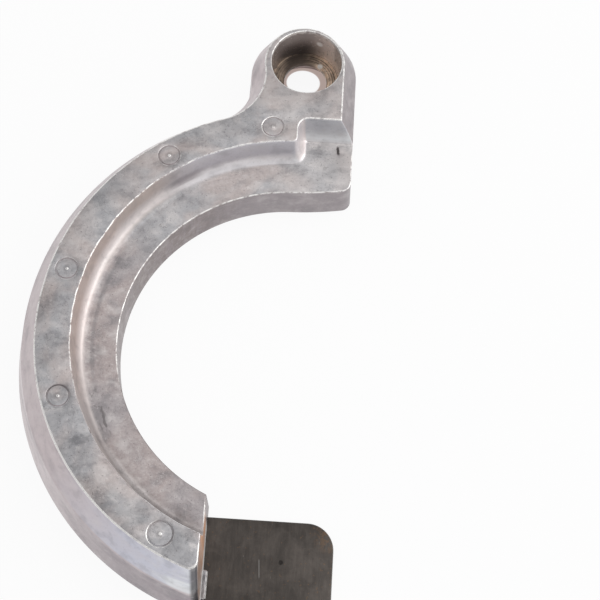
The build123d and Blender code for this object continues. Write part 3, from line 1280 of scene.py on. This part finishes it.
    def __post_init__(self) -> None:
        """Works out the radii that follow from the widths."""
        self.step_radius = self.inner_radius + self.band_width
        top = self.step_radius + self.rib_width
        shoulder = top + self.bevel_width
        base = shoulder + self.wall_lean
        ear_top = self.mouth_radius + self.ear_rim
        ear_shoulder = ear_top + self.ear_bevel
        ear_base = ear_shoulder + self.ear_lean
        self.bolt = point(0.0, base + self.bolt_clearance)
        self.ear = self.bolt + np.array(self.ear_shift)
        self.levels = (
            Level(0.0, base, ear_base, self.blend_radii[0]),
            Level(self.shoulder_height, shoulder, ear_shoulder, self.blend_radii[1]),
            Level(self.height, top, ear_top, self.blend_radii[2]),
        )

    def face_x(self, z: float) -> float:
        """Place of the ear's end face.

        Args:
            z: The height.

        Returns:
            Its place along X.
        """
        heights = [level.z for level in self.levels]
        radii = [level.ear for level in self.levels]
        return self.ear[0] + float(np.interp(z, heights, radii))

    def tab_x(self, z: float) -> float:
        """Place of the tab's end face at a height."""
        return -self.tab_offset - z * tan(radians(self.tab_draft))

    def rounds_at(self, level: Level, inset: float) -> list[Points]:
        """Curved runs of the outer wall on one of the three outlines.

        Args:
            level: The outline's radii.
            inset: How far inside the outline.

        Returns:
            Ear, blend, ring and tab corner, then the single point where the corner ends.
        """
        ring, ear, blend = level.ring - inset, level.ear - inset, level.blend + inset
        spacing = hypot(*self.ear)
        ahead = self.ear / spacing
        forward = ((ring + blend) ** 2 - (ear + blend) ** 2 + spacing**2) / (2 * spacing)
        sideways = sqrt((ring + blend) ** 2 - forward**2)
        hub = ahead * forward + point(-ahead[1], ahead[0]) * sideways
        on_ear = self.ear + (hub - self.ear) * ear / (ear + blend)
        on_ring = hub * ring / (ring + blend)
        side = self.ear + point(ear, 0.0)
        corner = max(self.tab_corner - inset, self.least_corner)
        tab = self.tab_x(level.z) - inset
        turn = point(tab - corner, -sqrt((ring - corner) ** 2 - (tab - corner) ** 2))
        leaves_ring = turn * ring / (ring - corner)
        meets_tab = point(tab, turn[1])
        return [
            arc(self.ear, side, on_ear, self.counts.ear, Turn.LEFT),
            arc(hub, on_ear, on_ring, self.counts.blend, Turn.RIGHT),
            arc(ORIGIN, on_ring, leaves_ring, self.counts.ring, Turn.LEFT),
            arc(turn, leaves_ring, meets_tab, self.counts.tab_corner, Turn.LEFT),
            meets_tab[None, :],
        ]

    def rounds(self, z: float, inset: float) -> tuple[Points, Points]:
        """Curved outer wall at any height, on straight lines between the outlines.

        Args:
            z: The height.
            inset: How far inside the wall.

        Returns:
            The run of points, and the point where the tab's straight face starts.
        """
        low, high = self.levels[:2] if z <= self.shoulder_height else self.levels[1:]
        share = (z - low.z) / (high.z - low.z)
        runs = zip(self.rounds_at(low, inset), self.rounds_at(high, inset))
        *curved, end = [a + (b - a) * share for a, b in runs]
        return np.concatenate(curved), end[0]

    def run_out(self, foot: Pair, z: float) -> float:
        """How far a rounded foot has run out from its wall.

        Args:
            foot: Its reach and its rise.
            z: The height.

        Returns:
            The distance.
        """
        reach, rise = foot
        below = max(1 - (z - self.shoulder_height) / rise, 0.0)
        return reach * (1 - sqrt(1 - below**2))

    def round_riser(self, z: float, start: Points, end: Points, shrinks: Sequence[float]) -> Points:
        """The curved run of the step's wall, a little uneven along its edge.

        Args:
            z: The height.
            start: Where the run leaves the tab.
            end: Where it meets the notch.
            shrinks: How far inside the step's radius it is by the tab, along the ring and by the notch.

        Returns:
            The run of points.
        """
        at_tab, on_ring, at_notch = shrinks
        run = arc(ORIGIN, start, end, self.counts.riser, Turn.RIGHT)
        share = np.arange(len(run)) / len(run)
        blend_start, blend_length = self.tab_blend
        shrink = at_tab + (on_ring - at_tab) * eased((share - blend_start) / blend_length)
        shrink = at_notch + (shrink - at_notch) * eased((1 - share) / self.notch_blend)
        wave = sum(size * np.sin(share * turns + turns) for size, turns in self.edge_waves)
        up = (z - self.shoulder_height) / (self.height - self.shoulder_height)
        shrink = shrink + wave * up * eased(np.minimum(share, 1 - share) / self.notch_blend)
        return run * ((self.step_radius - shrink) / hypot(*start))[:, None]

    def riser(self, z: float, inset: float) -> tuple[Points, Points, Points]:
        """The step's wall with the notch, from the tab to the ear's end face, at one height.

        Args:
            z: The height.
            inset: How far inside the rib.

        Returns:
            The run of points, the point on the tab's face before it and the point on the end face after it.
        """
        lean = (self.height - z) * tan(radians(self.riser_draft)) - inset
        feet = (self.tab_foot, self.ring_foot, self.notch_foot)
        shrinks = [lean + self.run_out(foot, z) for foot in feet]
        tab_ring, notch_ring = self.step_radius - shrinks[0], self.step_radius - shrinks[-1]
        side = self.notch_x + shrinks[-1]
        end_y = notch_ring + self.notch_depth
        outer = self.notch_outer + shrinks[-1]
        inner = max(self.notch_inner - shrinks[-1], self.least_notch)
        corner = max(self.edge - inset, self.least_edge)
        tab = self.tab_x(z) - inset
        face = self.face_x(z) - inset

        tab_hub = point(tab - corner, -sqrt((tab_ring + corner) ** 2 - (tab - corner) ** 2))
        on_tab = point(tab, tab_hub[1])
        leaves_tab = tab_hub * tab_ring / (tab_ring + corner)
        out_hub = point(side - outer, sqrt((notch_ring + outer) ** 2 - (side - outer) ** 2))
        meets_out = out_hub * notch_ring / (notch_ring + outer)
        leaves_out = point(side, out_hub[1])
        in_hub = point(side + inner, end_y - inner)
        face_hub = point(face - corner, end_y + corner)
        on_face = point(face, face_hub[1])
        meets_in, leaves_in = point(side, in_hub[1]), point(in_hub[0], end_y)
        meets_face = point(face_hub[0], end_y)
        counts = self.counts
        run = np.concatenate(
            (
                arc(tab_hub, on_tab, leaves_tab, counts.edge_corner, Turn.LEFT),
                self.round_riser(z, leaves_tab, meets_out, shrinks),
                arc(out_hub, meets_out, leaves_out, counts.notch_outer, Turn.LEFT),
                line(leaves_out, meets_in, counts.notch_side),
                arc(in_hub, meets_in, leaves_in, counts.notch_inner, Turn.RIGHT),
                line(leaves_in, meets_face, counts.notch_end),
                arc(face_hub, meets_face, on_face, counts.edge_corner, Turn.LEFT),
            )
        )
        return run, on_tab, on_face

    def high_wall(self, z: float, inset: float, on_tab: Points, on_face: Points) -> Points:
        """The tall part of the outer wall, from the end face round to the tab's face.

        Args:
            z: The height.
            inset: How far inside the wall.
            on_tab: Where the wall ends on the tab's face.
            on_face: Where the wall starts on the end face.

        Returns:
            The run of points.
        """
        curved, corner_end = self.rounds(z, inset)
        start = point(self.face_x(z) - inset, on_face[1])
        end = point(self.tab_x(z) - inset, on_tab[1])
        end_face = line(start, curved[0], self.counts.end_face)
        tab_face = line(corner_end, end, self.counts.tab_face)
        return np.concatenate((end_face, curved, tab_face))

    def low_wall(self, z: float, inset: float, on_tab: Points, on_face: Points) -> Points:
        """The low part of the wall, from the tab's face along the inner wall to the end face.

        Args:
            z: The height.
            inset: How far inside the wall.
            on_tab: Where the wall starts on the tab's face.
            on_face: Where the wall ends on the end face.

        Returns:
            The run of points.
        """
        inner = self.inner_radius + inset
        flare = self.flare_radius - inset
        tab = self.tab_x(z) - inset
        face = self.face_x(z) - inset
        corner = max(self.flare_corner - inset, self.least_corner)
        tab_inner = point(tab, -sqrt(inner**2 - tab**2))
        lean = radians(90 + self.flare_start)
        heading = point(cos(lean), sin(lean))
        flare_hub = heading * (self.inner_radius + self.flare_radius)
        turn_x = face - corner
        turn = point(turn_x, flare_hub[1] - sqrt((flare - corner) ** 2 - (turn_x - flare_hub[0]) ** 2))
        meets = flare_hub + (turn - flare_hub) * flare / (flare - corner)
        leaves = point(face, turn[1])
        counts = self.counts
        return np.concatenate(
            (
                line(point(tab, on_tab[1]), tab_inner, counts.low_tab),
                arc(ORIGIN, tab_inner, heading * inner, counts.inner_wall, Turn.RIGHT),
                arc(flare_hub, heading * inner, meets, counts.flare, Turn.LEFT),
                arc(turn, meets, leaves, counts.flare_corner, Turn.LEFT),
                line(leaves, point(face, on_face[1]), counts.low_end),
            )
        )

    def quarter(self, radius: float) -> list[Pair]:
        """Steps over a rounded edge: how far up and how far in, from the wall to the face."""
        bends = [radians(90 * k / self.edge_steps) for k in range(self.edge_steps + 1)]
        return [(radius * sin(bend), radius * (1 - cos(bend))) for bend in bends]

    def slab(self, shell: Shell) -> tuple[Row, Row, Row]:
        """Adds the lower wall, up to the shoulder and the inner band.

        Args:
            shell: Mesh in the making.

        Returns:
            The lowest row, and the tall and low parts of the highest row.
        """
        shoulder = self.shoulder_height
        _, on_tab, on_face = self.riser(shoulder, 0.0)
        path = [(self.base_edge - up, inset) for up, inset in reversed(self.quarter(self.base_edge))]
        path += [(z, 0.0) for z in (*self.wall_rows, shoulder - self.under_shoulder)]
        rows: list[Row] = []
        for z, inset in path:
            plan = [wall(z, inset, on_tab, on_face) for wall in (self.high_wall, self.low_wall)]
            rows.append(shell.row(np.concatenate(plan), z))
        shell.stack(rows)
        plain = self.low_wall(shoulder, 0.0, on_tab, on_face)
        pulled = self.low_wall(shoulder, self.edge, on_tab, on_face)
        to_ends = np.minimum(np.arange(len(plain)), np.arange(len(plain))[::-1] + 1)
        taper = np.clip(to_ends / self.rim_taper, 0.0, 1.0)
        tall = len(self.high_wall(shoulder, 0.0, on_tab, on_face))
        rim = np.concatenate((np.zeros(tall), np.ones(len(plain))))
        start_light, full_light = self.rim_light
        last, last_light = rows[-1], 0.0 * rim
        for up, inset in self.quarter(self.edge):
            z = shoulder - self.edge + up
            high = self.high_wall(z, 0.0, on_tab, on_face)
            share = (taper * inset / self.edge)[:, None]
            low = plain + (pulled - plain) * share
            row = shell.row(np.concatenate((high, low)), z)
            wear_light = rim * (full_light if up > 0 else start_light)
            shell.strip(last, row, (last_light, wear_light))
            last, last_light = row, wear_light
        return rows[0], last[:tall], last[tall:]

    def rib(self, shell: Shell, tall: Row, low: Row) -> tuple[Row, Row]:
        """Adds the raised rib on the lower wall.

        Args:
            shell: Mesh in the making.
            tall: Tall part of the row at the shoulder.
            low: Low part of that row.

        Returns:
            The row around the rib's top, and the rib's foot over the inner band.
        """
        shoulder = self.shoulder_height
        run, _, _ = self.riser(shoulder, 0.0)
        foot = shell.row(run[1:], shoulder)
        last = tall + [low[0]] + foot
        under = self.height - self.edge
        start_light, full_light = self.edge_light
        path = [(shoulder + step, 0.0, 0.0) for step in self.riser_steps]
        path.append((under - self.under_edge, 0.0, 0.0))
        for up, inset in self.quarter(self.edge):
            path.append((under + up, inset, full_light if up > 0 else start_light))
        last_light = 0.0
        for z, inset, wear_light in path:
            run, on_tab, on_face = self.riser(z, inset)
            wall = self.high_wall(z, inset, on_tab, on_face)
            row = shell.row(np.concatenate((wall, run)), z)
            shell.strip(last, row, (last_light, wear_light))
            last, last_light = row, wear_light
        return last, foot

    def hollow(self, shell: Shell) -> tuple[Row, Row]:
        """Adds the counterbore, the seat's place and the hollow below it.

        Args:
            shell: Mesh in the making.

        Returns:
            The row around the mouth and the row around the hollow's lower edge.
        """
        floor = self.mouth_radius - self.mouth_taper
        seat = floor + self.seat_bedding
        pocket = seat - self.seat_ledge
        below = self.seat_top - self.seat_thickness
        mouth = [
            (self.mouth_radius + inset, self.height - self.edge + up, 1.0)
            for up, inset in reversed(self.quarter(self.edge))
        ]
        bore = [
            (self.mouth_radius - self.mouth_taper * share, self.height - depth, 0.0)
            for share, depth in self.bore_rows
        ]
        flare, rise = self.pocket_edge
        profile = mouth + bore + [
            (floor, self.seat_top, 0.0),
            (seat, self.seat_top, 0.0),
            (seat, below, 0.0),
            (pocket, below, 0.0),
            (pocket, below / 2, 0.0),
            (pocket, rise, 0.0),
            (pocket + flare, 0.0, 0.0),
        ]
        rows = shell.spin(self.bolt, profile, self.counts.bore)
        return rows[0], rows[-1]

    def mark(self, shell: Shell, mark: Mark) -> Row:
        """Adds one ejector mark: a groove around a shallow disc with a nub in its middle.

        Args:
            shell: Mesh in the making.
            mark: The mark's place and look.

        Returns:
            The row around it.
        """
        turn = radians(mark.angle)
        away = self.step_radius + self.rib_width / 2
        centre = point(cos(turn), sin(turn)) * away
        top, depth, reach = self.height, self.mark_depth, mark.reach
        count = self.counts.mark
        # Painted highlight on the rim, strongest opposite the side where painted shade fills the groove
        around = np.cos(2 * pi * np.arange(count) / count - radians(mark.side))
        bright = mark.bright * (0.7 - 0.3 * around)
        groove_shade = -mark.groove_shade * np.clip(0.45 + 0.55 * around, 0.0, 1.0)
        disc, disc_drop = self.mark_disc
        profile: list[tuple[float, float, WearLight]] = [
            (reach - inward, top - depth * drop, bright * shine + groove_shade * darkness)
            for inward, drop, shine, darkness in self.mark_groove
        ]
        profile.append((reach * disc, top - depth * disc_drop, 0.0))
        profile += [(radius, top - depth * drop, wear_light) for radius, drop, wear_light in self.mark_nub]
        rows = shell.spin(centre, profile, count)
        shell.cap(rows[-1])
        return rows[0]

    def slot_pit(self, shell: Shell) -> Row:
        """Adds the small dark pit on the inner band by the end face.

        Args:
            shell: Mesh in the making.

        Returns:
            The row around it.
        """
        half_width, half_length, depth = self.pit_size
        ring = circle(ORIGIN, 1.0, self.counts.pit)
        stretch = np.sign(ring[:, 1:]) * point(0.0, half_length - half_width)
        rows = []
        for share, drop in self.pit_path:
            plan = ring * half_width * share + stretch * share + np.array(self.pit)
            rows.append(shell.row(plan, self.shoulder_height - depth * drop))
        shell.stack(rows)
        shell.cap(rows[-1])
        return rows[0]

    def tongue_place(self, shell: Shell) -> Row:
        """Adds the place of the lug's tongue in the underside.

        Args:
            shell: Mesh in the making.

        Returns:
            The row around its opening.
        """
        x0, y0, x1, y1 = self.tongue
        plan = np.array(((x0, y0), (x1, y0), (x1, y1), (x0, y1)))
        opening = shell.row(plan, 0.0)
        ceiling = shell.row(plan, self.tongue_height)
        shell.strip(ceiling, opening)
        shell.cap(ceiling, upward=False)
        return opening

    def lip_bead(self, shell: Shell) -> None:
        """Adds the low lip on the lug beside the end face."""
        x0, y0, x1, y1 = self.lip
        low, high = self.lip_heights
        path = [(low, 0.0, 0.0)] + [(high - drop, inset, wear_light) for drop, inset, wear_light in self.lip_path]
        widest, tightening = self.lip_corner
        rows = []
        for z, inset, _ in path:
            near, right, far = y0 + inset, x1 - inset, y1 - inset
            corner = widest - inset * tightening
            straight = right - corner
            turns = (
                (point(straight, near + corner), point(straight, near), point(right, near + corner)),
                (point(straight, far - corner), point(right, far - corner), point(straight, far)),
            )
            plan = np.concatenate([arc(*turn, self.counts.lip_corner, Turn.LEFT) for turn in turns])
            ends = np.array(((straight, far), (x0, far), (x0, near)))
            rows.append(shell.row(np.concatenate((plan, ends)), z))
        wear_lights = [wear_light for _, _, wear_light in path]
        shell.stack(rows, wear_lights)
        shell.cap(rows[-1], wear_light=wear_lights[-1])
        shell.cap(rows[0], upward=False)

    def build(self) -> bpy.types.Object:
        """Builds the casting.

        Returns:
            The piece.
        """
        shell = Shell()
        base, tall, low = self.slab(shell)
        top, foot = self.rib(shell, tall, low)
        mouth, hollow = self.hollow(shell)
        marks = [self.mark(shell, mark) for mark in self.marks]
        shell.cap(top, [mouth, *marks])
        shell.cap(low + [tall[0]] + foot[::-1], [self.slot_pit(shell)])
        shell.cap(base, [hollow, self.tongue_place(shell)], upward=False)
        self.lip_bead(shell)
        return shell.make("casting")

    def dress(self, piece: bpy.types.Object) -> None:
        """Gives the casting its finish and its place."""
        fit(piece, "anode_casting", CastZinc().material())


@dataclass
class BoltSeat:
    """Round steel seat at the bottom of the counterbore; sizes in millimetres."""

    axis_y: float = BOLT_Y
    radius: float = 10.3
    hole: float = 5.25
    top: float = 8.9
    thickness: float = 1.5
    edge: float = 0.25
    ring_start: float = 0.05
    ring_pitch: float = 0.36
    ring_slope: float = 0.55
    ring_crest: float = 0.002
    ring_depth: float = 0.05
    hole_drop: float = 0.01
    count: int = 96

    def build(self) -> bpy.types.Object:
        """Builds the seat, with turned rings on its upper face.

        Returns:
            The piece.
        """
        shell = Shell()
        bottom = self.top - self.thickness
        profile = [
            (self.hole, bottom + self.edge, 0.0),
            (self.hole + self.edge, bottom, 0.0),
            (self.radius, bottom, 0.0),
            (self.radius, self.top, 0.0),
        ]
        rings = ceil((self.radius - self.hole - 2 * self.edge) / self.ring_pitch)
        for k in range(rings):
            outer = self.radius - self.ring_start - k * self.ring_pitch
            profile.append((outer, self.top - self.ring_crest, 0.3))
            profile.append((outer - self.ring_pitch * self.ring_slope, self.top - self.ring_depth, 0.0))
        profile.append((self.hole + self.edge, self.top - self.hole_drop, 0.5))
        profile.append((self.hole, self.top - self.edge, 0.3))
        rows = shell.spin(point(0.0, self.axis_y), profile, self.count)
        shell.strip(rows[-1], rows[0])
        return shell.make("seat")

    def dress(self, piece: bpy.types.Object) -> None:
        """Gives the seat its finish and its place."""
        fit(piece, "bolt_seat", TurnedSteel(axis_y=self.axis_y).material())


@dataclass
class SteelLug:
    """Flat steel lug with the tongue that the casting holds; sizes in millimetres."""

    thickness: float = 1.5
    inner_y: float = -38.05
    outer_y: float = -62.0
    start_x: float = -15.4
    end_x: float = 12.85
    corner: float = 6.0
    tongue_x: float = -24.4
    tongue_half: float = 6.0
    edge: float = 0.18
    edge_middle: float = 0.3
    side_count: int = 12
    end_count: int = 8
    corner_count: int = 16

    def outline(self, inset: float) -> Points:
        """Plan of the lug.

        Args:
            inset: How far its free sides are drawn in.

        Returns:
            The points around it.
        """
        top, bottom = self.inner_y - inset, self.outer_y + inset
        right = self.end_x - inset
        turn = self.corner - inset
        straight = right - turn
        middle = (self.inner_y + self.outer_y) / 2
        low, high = middle - self.tongue_half, middle + self.tongue_half
        near, far = point(straight, bottom + turn), point(straight, top - turn)
        on_near, on_far = point(right, bottom + turn), point(right, top - turn)
        return np.concatenate(
            (
                line(point(self.start_x, bottom), point(straight, bottom), self.side_count),
                arc(near, point(straight, bottom), on_near, self.corner_count, Turn.LEFT),
                line(on_near, on_far, self.end_count),
                arc(far, on_far, point(straight, top), self.corner_count, Turn.LEFT),
                line(point(straight, top), point(self.start_x, top), self.side_count),
                np.array(
                    (
                        (self.start_x, top),
                        (self.start_x, high),
                        (self.tongue_x, high),
                        (self.tongue_x, low),
                        (self.start_x, low),
                    )
                ),
            )
        )

    def build(self) -> bpy.types.Object:
        """Builds the lug with softened edges.

        Returns:
            The piece.
        """
        shell = Shell()
        halfway = self.edge * self.edge_middle
        path = [
            (0.0, self.edge, 0.3),
            (halfway, halfway, 0.3),
            (self.edge, 0.0, 0.0),
            (self.thickness - self.edge, 0.0, 0.3),
            (self.thickness - halfway, halfway, 1.0),
            (self.thickness, self.edge, 1.0),
        ]
        rows = [shell.row(self.outline(inset), z) for z, inset, _ in path]
        shell.stack(rows, [wear_light for _, _, wear_light in path])
        shell.cap(rows[-1])
        shell.cap(rows[0], upward=False)
        return shell.make("lug")

    def dress(self, piece: bpy.types.Object) -> None:
        """Gives the lug its finish and its place."""
        fit(piece, "steel_lug", PlateSteel().material())


def looking(place: Place, aim: Place) -> Matrix:
    """Stands a lamp or a camera at a place and turns it to another; millimetres."""
    start, end = Vector(place) * MM, Vector(aim) * MM
    return Matrix.Translation(start) @ (end - start).to_track_quat("-Z", "Y").to_matrix().to_4x4()


@dataclass
class Lamp:
    """One soft rectangular lamp; places in millimetres."""

    name: str
    place: Place
    aim: Place
    size: Pair
    watts: float

    def hang(self) -> None:
        """Puts the lamp in the scene."""
        data = bpy.data.lights.new(self.name, "AREA")
        data.shape = "RECTANGLE"
        data.size, data.size_y = (side * MM for side in self.size)
        data.energy = self.watts
        lamp = bpy.data.objects.new(self.name, data)
        lamp.matrix_world = looking(self.place, self.aim)
        bpy.context.scene.collection.objects.link(lamp)


@dataclass
class Studio:
    """Paper floor, soft lamps, pale room and camera; sizes in millimetres."""

    floor_half: float = 25000.0
    floor_drop: float = 0.05
    floor_thickness: float = 2.0
    room: Colour = (0.58, 0.58, 0.59)
    camera_place: Place = (-2.418, -111.74, 316.47)
    camera_aim: Place = (2.105, 15.844, 0.0)
    camera_roll: float = 5.69
    lens: float = 86.3
    sensor: float = 36.0
    nearest: float = 10.0
    lamps: tuple[Lamp, ...] = (
        Lamp("lamp_over", (60.0, 120.0, 620.0), (0.0, 0.0, 0.0), (520.0, 420.0), 0.55),
        Lamp("lamp_right", (470.0, 70.0, 330.0), (-20.0, 0.0, 0.0), (460.0, 640.0), 1.5),
    )

    def lay_floor(self) -> None:
        """Lays the paper floor."""
        half, top = self.floor_half * MM, -self.floor_drop * MM
        mesh = bpy.data.meshes.new("floor")
        around = ((-half, -half), (half, -half), (half, half), (-half, half))
        corners = [(x, y, z) for z in (top, top - self.floor_thickness * MM) for x, y in around]
        sides = [(k, k + 4, (k + 1) % 4 + 4, (k + 1) % 4) for k in range(4)]
        mesh.from_pydata(corners, [], [(0, 1, 2, 3), (7, 6, 5, 4), *sides])
        mesh.materials.append(Paper().material())
        floor = bpy.data.objects.new("floor", mesh)
        bpy.context.scene.collection.objects.link(floor)

    def light(self) -> None:
        """Hangs the lamps and lights the room."""
        for lamp in self.lamps:
            lamp.hang()
        world = bpy.data.worlds.new("room")
        world.use_nodes = True
        g = Graph(world.node_tree)
        back = g.node("ShaderNodeBackground", {}, {"Color": self.room, "Strength": 1.0})
        g.node("ShaderNodeOutputWorld", {}, {"Surface": back.outputs[0]})
        bpy.context.scene.world = world

    def aim_camera(self) -> None:
        """Stands the camera at the photograph's viewing angle."""
        data = bpy.data.cameras.new("camera")
        data.lens = self.lens
        data.sensor_width = self.sensor
        data.clip_start = self.nearest * MM
        camera = bpy.data.objects.new("camera", data)
        roll = Matrix.Rotation(radians(self.camera_roll), 4, "Z")
        camera.matrix_world = looking(self.camera_place, self.camera_aim) @ roll
        bpy.context.scene.collection.objects.link(camera)
        bpy.context.scene.camera = camera

    def set_up(self) -> None:
        """Sets the whole studio up and shows colours as they are written."""
        self.lay_floor()
        self.light()
        self.aim_camera()
        bpy.context.scene.view_settings.view_transform = "Standard"


def main() -> None:
    """Builds and dresses every piece, then the studio."""
    logging.basicConfig(level=logging.INFO, format="%(name)s: %(message)s")
    for assembly in (Casting(), BoltSeat(), SteelLug()):
        piece = assembly.build()
        assembly.dress(piece)
    Studio().set_up()


if __name__ == "__main__":
    main()
